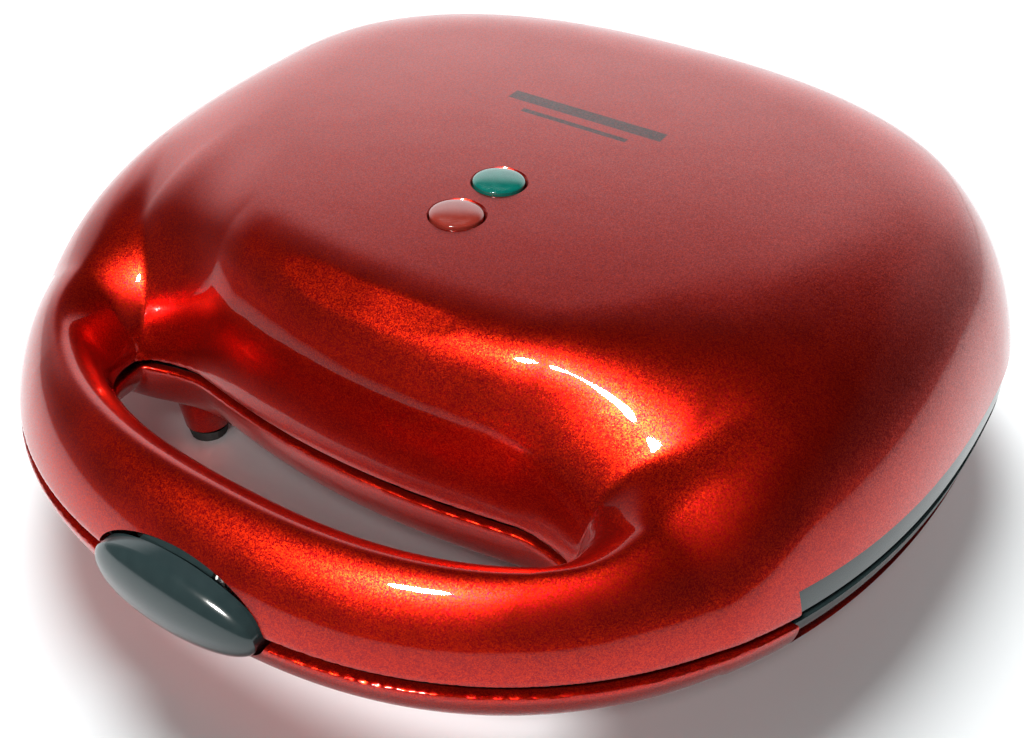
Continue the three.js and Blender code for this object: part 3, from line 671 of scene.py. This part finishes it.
def make_latch_button():
    """The oval pad with its pivot tube, the web that carries it, and the hook below."""
    pivot_y, pivot_z = FRONT_Y + 6.2, SEAM_Z + 5.4
    tube_radius, bore_radius, bore_end = 2.4, 1.35, 30
    left, right = -10.7, 7.3
    hook_half, hook_z = 7, 22.6
    back = FRONT_Y + 2
    button = turn_faces_out(make_latch_face())
    join(button, rod_x(left, right, pivot_y, pivot_z, tube_radius))
    join(button, block(left, right, back, pivot_y, pivot_z - 2, pivot_z + 1.6))
    join(button, block(-hook_half, hook_half, back, FRONT_Y + 5.4, hook_z, pivot_z - 1))
    join(button, block(-hook_half, hook_half, FRONT_Y + 4.4, FRONT_Y + 7.4, hook_z, 24.4))
    return cut(button, rod_x(-bore_end, bore_end, pivot_y, pivot_z, bore_radius))


# ---- Lenses ----
def make_lens(node_name):
    """A domed lens with a rounded shoulder."""
    y = LENS_YS[node_name]
    low, shoulder, crown, fullness = -3.4, 0.1, 1.2, 0.8
    turns = np.linspace(0, math.pi / 2, 24)
    radii = [LENS_RADIUS * math.sin(turn) for turn in turns]
    heights = [shoulder + crown * max(math.cos(turn), 0) ** fullness for turn in turns]
    profile = [*zip(radii, heights), (LENS_RADIUS, low), (0, low)]
    return lathe("lens", profile, 96, at(0, y, lens_height(y)))


# ---- Node helpers ----
class Nodes:
    """Short calls to add nodes to a node tree."""

    def __init__(self, tree):
        self.tree = tree

    def add(self, kind, inputs=None, **settings):
        node = self.tree.nodes.new(kind)
        for key, value in settings.items():
            setattr(node, key, value)
        for key, value in (inputs or {}).items():
            self.plug(node.inputs[key], value)
        return node

    def plug(self, socket, value):
        if isinstance(value, bpy.types.NodeSocket):
            self.tree.links.new(value, socket)
        else:
            socket.default_value = value

    def remap(self, value, low, high, to_low, to_high, interpolation="LINEAR"):
        inputs = {"Value": value, "From Min": low, "From Max": high, "To Min": to_low, "To Max": to_high}
        node = self.add("ShaderNodeMapRange", inputs, interpolation_type=interpolation)
        return node.outputs["Result"]

    def math(self, operation, a, b=0.0):
        return self.add("ShaderNodeMath", {0: a, 1: b}, operation=operation).outputs["Value"]

    def vector(self, operation, a, b=(0, 0, 0)):
        second = "Scale" if operation == "SCALE" else 1
        node = self.add("ShaderNodeVectorMath", {0: a, second: b}, operation=operation)
        return node.outputs["Value" if operation == "DOT_PRODUCT" else "Vector"]

    def blend(self, share, a, b):
        """A colour between two colours."""
        colour_a, colour_b, result = 6, 7, 2  # the sockets of a mix node that are for colours
        inputs = {"Factor": share, colour_a: a, colour_b: b}
        return self.add("ShaderNodeMix", inputs, data_type="RGBA").outputs[result]


# ---- Materials ----
class Look(Nodes):
    """A material whose values vary over its piece. Noise scales are in waves per metre."""

    def __init__(self, name, **values):
        self.material = bpy.data.materials.new(name)
        self.material.use_nodes = True
        super().__init__(self.material.node_tree)
        self.shader = self.tree.nodes["Principled BSDF"]
        for key, value in values.items():
            self.set(key.replace("_", " "), value)
        self.place = self.add("ShaderNodeTexCoord").outputs["Object"]

    def set(self, socket, value):
        self.plug(self.shader.inputs[socket], value)

    def noise(self, scale, detail=2.0):
        inputs = {"Vector": self.place, "Scale": scale, "Detail": detail}
        return self.add("ShaderNodeTexNoise", inputs).outputs["Fac"]

    def spread(self, value, low, high):
        """The middle of a noise, stretched from low to high."""
        return self.remap(value, 0.3, 0.7, low, high)

    def bump(self, height, strength, depth):
        inputs = {"Height": height, "Strength": strength, "Distance": depth * MM}
        return self.add("ShaderNodeBump", inputs).outputs["Normal"]

    def tint(self, scale, dark, light):
        self.set("Base Color", self.blend(self.noise(scale), (*dark, 1), (*light, 1)))

    def polish(self, scale, low, high):
        """A roughness that drifts between two values."""
        self.set("Roughness", self.spread(self.noise(scale), low, high))

    def grain(self, scale, strength, depth, detail=2.0):
        self.set("Normal", self.bump(self.noise(scale, detail), strength, depth))


def bar_mark(look, parts, middle, half_long, half_wide):
    """1 inside a plain bar that lies across the lid, 0 outside it."""
    soft = 0.15
    along = look.math("ABSOLUTE", parts["X"])
    across = look.math("ABSOLUTE", look.math("SUBTRACT", parts["Y"], middle * MM))
    inside_x = look.remap(along, (half_long - soft) * MM, (half_long + soft) * MM, 1, 0)
    inside_y = look.remap(across, (half_wide - soft) * MM, (half_wide + soft) * MM, 1, 0)
    return look.math("MULTIPLY", inside_x, inside_y)


def printed_mark(look):
    """1 inside the plain printed bars on top of the lid, 0 elsewhere."""
    lid_top = 60
    parts = look.add("ShaderNodeSeparateXYZ", {"Vector": look.place}).outputs
    first, second = (bar_mark(look, parts, *bar) for bar in MARK_BARS)
    on_top = look.math("GREATER_THAN", parts["Z"], lid_top * MM)
    return look.math("MULTIPLY", look.math("ADD", first, second), on_top)


def red_paint():
    """Metal flake under clear lacquer, with a plain mark printed on the lid."""
    flake_size, flake_tilt = 0.22, 0.10
    deep, bright, ink = (0.30, 0.001, 0.006, 1), (0.60, 0.020, 0.002, 1), (0.022, 0.012, 0.012, 1)
    look = Look("red_paint", Metallic=0.97, Specular_IOR_Level=0.2)
    look.set("Coat Weight", 1.0)
    look.set("Coat Roughness", 0.03)
    look.set("Coat IOR", 1.36)
    cells = {"Vector": look.place, "Scale": 1 / (flake_size * MM)}
    flakes = look.add("ShaderNodeTexVoronoi", cells).outputs["Color"]
    shade = look.add("ShaderNodeSeparateColor", {"Color": flakes}).outputs["Red"]
    wear = look.remap(look.noise(1500), 0.35, 0.65, 0.75, 0.95)
    mark = look.math("MULTIPLY", printed_mark(look), wear)
    look.set("Base Color", look.blend(mark, look.blend(shade, deep, bright), ink))
    look.polish(90, 0.31, 0.36)
    tilt = look.vector("SUBTRACT", flakes, (0.5, 0.5, 0.5))
    tilt = look.vector("SCALE", tilt, flake_tilt)
    normal = look.add("ShaderNodeNewGeometry").outputs["Normal"]
    tilted = look.vector("ADD", normal, tilt)
    look.set("Normal", look.vector("NORMALIZE", tilted))
    look.set("Coat Normal", look.bump(look.noise(70), 0.25, 0.3))
    return look.material


def black_gloss():
    look = Look("black_gloss", IOR=1.5, Coat_Weight=0.4, Coat_Roughness=0.03)
    look.tint(400, (0.006, 0.011, 0.012), (0.010, 0.017, 0.018))
    look.polish(150, 0.14, 0.22)
    look.grain(900, 0.05, 0.05)
    return look.material


def black_matt():
    look = Look("black_matt", IOR=1.5)
    look.tint(300, (0.010, 0.012, 0.013), (0.018, 0.021, 0.022))
    look.polish(200, 0.38, 0.52)
    look.grain(2500, 0.25, 0.08)
    return look.material


def rubber():
    look = Look("rubber", IOR=1.5)
    look.tint(500, (0.010, 0.010, 0.010), (0.022, 0.021, 0.020))
    look.polish(300, 0.7, 0.9)
    look.grain(2000, 0.3, 0.1)
    return look.material


def nonstick():
    look = Look("nonstick", Metallic=0.25)
    look.tint(700, (0.016, 0.016, 0.017), (0.034, 0.034, 0.036))
    look.polish(120, 0.32, 0.48)
    look.grain(1800, 0.3, 0.06, detail=4)
    return look.material


def metal(name, color, low, high, grain):
    """Bare metal with brushing along X."""
    look = Look(name, Metallic=1.0)
    stretched = look.vector("MULTIPLY", look.place, (grain * 0.05, grain, grain))
    brushing = {"Vector": stretched, "Scale": 1.0, "Detail": 3.0}
    streaks = look.add("ShaderNodeTexNoise", brushing).outputs["Fac"]
    dark = tuple(0.8 * c for c in color)
    look.set("Base Color", look.blend(streaks, (*dark, 1), (*color, 1)))
    look.set("Roughness", look.spread(streaks, low, high))
    look.set("Normal", look.bump(streaks, 0.1, 0.03))
    return look.material


def ceramic():
    look = Look("ceramic")
    look.tint(500, (0.66, 0.62, 0.54), (0.78, 0.75, 0.68))
    look.polish(200, 0.55, 0.75)
    look.grain(1500, 0.2, 0.06)
    return look.material


def glass_sleeve():
    """Braided glass-fibre sleeving on the leads."""
    look = Look("glass_sleeve")
    weave = {"Vector": look.place, "Scale": 900.0, "Distortion": 1.5}
    braid = look.add("ShaderNodeTexWave", weave).outputs["Fac"]
    look.set("Base Color", look.blend(braid, (0.52, 0.50, 0.42, 1), (0.74, 0.72, 0.64, 1)))
    look.polish(400, 0.75, 0.95)
    look.set("Normal", look.bump(braid, 0.5, 0.1))
    return look.material


def lens(name, deep, light):
    """Moulded lamp lens: clear plastic that shows a frosted underside."""
    look = Look(name, IOR=1.49, Transmission_Weight=0.35, Coat_Weight=0.6, Coat_Roughness=0.02)
    look.tint(600, deep, light)
    look.polish(300, 0.06, 0.14)
    return look.material


def lamp_glass():
    look = Look("lamp_glass", IOR=1.5, Transmission_Weight=0.7)
    look.tint(400, (0.75, 0.62, 0.5), (0.9, 0.8, 0.7))
    look.polish(300, 0.04, 0.12)
    return look.material


RED = red_paint()
GLOSS = black_gloss()
MATT = black_matt()
RUBBER = rubber()
NONSTICK = nonstick()
STEEL = metal("steel", (0.62, 0.62, 0.63), 0.22, 0.38, 900)
SHEET = metal("sheet_steel", (0.55, 0.56, 0.57), 0.34, 0.5, 500)
CERAMIC = ceramic()
SLEEVE = glass_sleeve()
GREEN_LENS = lens("green_lens", (0.0, 0.055, 0.045), (0.003, 0.10, 0.08))
RED_LENS = lens("red_lens", (0.12, 0.012, 0.009), (0.18, 0.024, 0.016))
LAMP = lamp_glass()


# ---- Pieces ----
def add_piece(name, obj, material, body, node):
    """Gives a piece its material, body and name, and hides the CAD node that it stands for."""
    obj.data.materials.clear()
    obj.data.materials.append(material)
    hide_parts(node)
    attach(obj, body)
    obj.name = name


def dress_cad_nodes():
    """Materials for the CAD nodes that stay, each by the first of these words in its name."""
    looks = {
        "frame_screw": STEEL,
        "grill_plate": NONSTICK,
        "heating_element": STEEL,
        "element_clamp": SHEET,
        "clamp_screw": STEEL,
        "heat_shield": SHEET,
        "handle_liner": MATT,
        "foot_pad": RUBBER,
        "cord_gland": MATT,
        "terminal_block": CERAMIC,
        "lead": SLEEVE,
        "latch_catch": SHEET,
        "latch_pin": STEEL,
        "latch_spring": STEEL,
        "hinge_pin": STEEL,
        "lamp_holder": CERAMIC,
        "thermostat": CERAMIC,
        "thermal_fuse": CERAMIC,
        "_lamp": LAMP,
    }
    for name, node in frame["nodes"].items():
        for part, material in looks.items():
            if part in name:
                node.data.materials.clear()
                node.data.materials.append(material)
                break


add_piece("lid_cover", smooth(make_lid_shell()), RED, "lid", "lid_shell")
add_piece("base_cover", smooth(make_base_shell()), RED, "base", "base_shell")
add_piece("lid_rim", smooth(make_lid_frame()), GLOSS, "lid", "lid_frame")
add_piece("base_rim", smooth(make_base_frame()), GLOSS, "base", "base_frame")
add_piece("latch_pad", smooth(make_latch_button(), 25), GLOSS, "latch", "latch_button")
add_piece("red_lens_dome", smooth(make_lens("red_lens")), RED_LENS, "lid", "red_lens")
add_piece("green_lens_dome", smooth(make_lens("green_lens")), GREEN_LENS, "lid", "green_lens")
dress_cad_nodes()


# ---- Camera ----
def make_camera():
    """A camera in front of the press, to its right and above it, a little tilted."""
    place = Vector((128.89, -209.39, 198.07)) * MM
    azimuth, elevation, roll = (math.radians(v) for v in (31.443, 37.289, 2.199))
    flat = Vector((math.sin(azimuth), -math.cos(azimuth), 0))
    back = flat * math.cos(elevation) + Vector((0, 0, math.sin(elevation)))
    level = Vector((math.cos(azimuth), math.sin(azimuth), 0))
    upright = back.cross(level)
    right = level * math.cos(roll) + upright * math.sin(roll)
    up = upright * math.cos(roll) - level * math.sin(roll)
    data = bpy.data.cameras.new("camera")
    data.sensor_width = 36
    data.lens = 40.98
    camera = add_object("camera", data)
    camera.matrix_world = Matrix.Translation(place) @ Matrix((right, up, back)).transposed().to_4x4()
    bpy.context.scene.camera = camera


# ---- Studio ----
def make_floor():
    half_size = 3000

    def build(bm):
        bmesh.ops.create_grid(bm, x_segments=1, y_segments=1, size=half_size)

    floor = bmesh_object("floor", build)
    look = Look("floor", IOR=1.45)
    look.tint(8, (0.86, 0.88, 0.88), (0.89, 0.91, 0.91))
    look.polish(30, 0.5, 0.6)
    floor.data.materials.append(look.material)
    return floor


def area_light(name, direction, distance, size, watts, seen=True, color=(1, 1, 1)):
    """A soft light that faces the press; seen says whether its own shape shows in reflections."""
    data = bpy.data.lights.new(name, "AREA")
    data.shape = "ELLIPSE"
    data.size, data.size_y = size
    data.energy = watts
    data.color = color
    light = add_object(name, data)
    towards = Vector(direction).normalized()
    light.location = towards * distance
    light.rotation_euler = towards.to_track_quat("Z", "Y").to_euler()
    light.visible_glossy = seen
    return light


def keep_off(light, obj):
    """Makes a light miss one object."""
    missed = bpy.data.collections.new(light.name + "_misses")
    missed.objects.link(obj)
    light.light_linking.receiver_collection = missed
    missed.collection_objects[0].light_linking.link_state = "EXCLUDE"


def make_lights(floor):
    """A small key light above the front, a weak one beside it and a wide fill from above."""
    warm, cool = (1, 0.97, 0.92), (0.97, 0.99, 1)
    key = area_light("key", (0.1, -0.8, 1.0), distance=1.1, size=(0.22, 0.10), watts=30, color=warm)
    keep_off(key, floor)
    area_light("front", (0.3, -0.7, 0.8), distance=1.5, size=(0.5, 0.5), watts=6, seen=False)
    area_light("fill", (-0.35, 0.3, 0.9), distance=2.5, size=(1.5, 1.5), watts=90, seen=False, color=cool)


def make_world():
    """A bright wall low down behind the press, dim above and in front, and pale to the camera."""
    wall_direction, wall_strength, seen_strength = (-0.5, 0.86, 0), 1.4, 0.9
    world = bpy.data.worlds.new("studio")
    world.use_nodes = True
    nodes = Nodes(world.node_tree)
    direction = nodes.add("ShaderNodeTexCoord").outputs["Generated"]
    height = nodes.add("ShaderNodeSeparateXYZ", {"Vector": direction}).outputs["Z"]
    facing = nodes.vector("DOT_PRODUCT", direction, wall_direction)
    behind = nodes.remap(facing, 0.3, 0.9, 0.03, 1.0, "SMOOTHSTEP")
    low = nodes.remap(height, 0.42, 0.68, 1.0, 0.02, "SMOOTHSTEP")
    wall = nodes.math("MULTIPLY", nodes.math("MULTIPLY", behind, low), wall_strength)
    seen = nodes.add("ShaderNodeLightPath").outputs["Is Camera Ray"]
    strength = nodes.add("ShaderNodeMix", {"Factor": seen, "A": wall, "B": seen_strength})
    background = world.node_tree.nodes["Background"].inputs
    nodes.plug(background["Color"], (0.94, 0.98, 1.0, 1))
    nodes.plug(background["Strength"], strength.outputs["Result"])
    bpy.context.scene.world = world


bpy.context.scene.view_settings.view_transform = "Standard"
make_camera()
make_lights(make_floor())
make_world()
